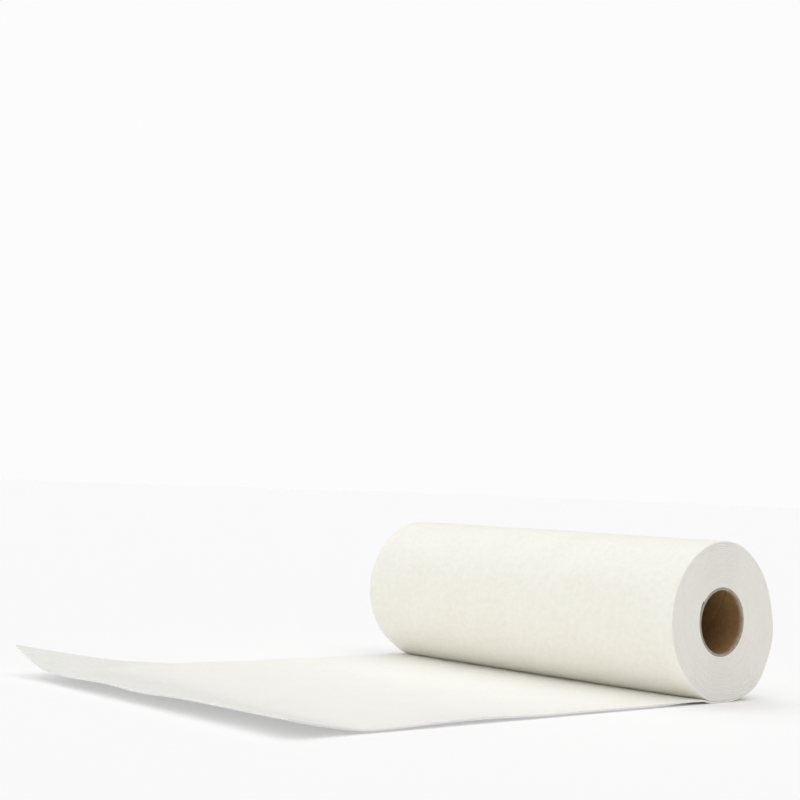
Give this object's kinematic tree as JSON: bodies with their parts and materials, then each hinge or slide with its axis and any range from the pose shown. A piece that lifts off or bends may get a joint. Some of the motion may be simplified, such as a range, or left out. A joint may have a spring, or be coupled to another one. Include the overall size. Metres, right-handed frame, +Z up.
{
  "type": "paper towel roll",
  "caption": "Roll of thick reusable kitchen towel on a cardboard core, lying on its side with one length unrolled and its cut end lifting.",
  "frame": {"origin": "centre of the core's bore, halfway along the roll", "axes": "+X along the roll's axis, -Y the way the towel unrolls, +Z up from the surface that the roll and its tail rest on"},
  "size_m": [0.285, 0.3745, 0.0969],
  "materials": {
    "towel_web": "soft matt nonwoven, off-white",
    "core_board": "matt brown paperboard"
  },
  "bodies": {
    "root": {"towel": "towel_web", "core_tube": "core_board"}
  },
  "joints": []
}
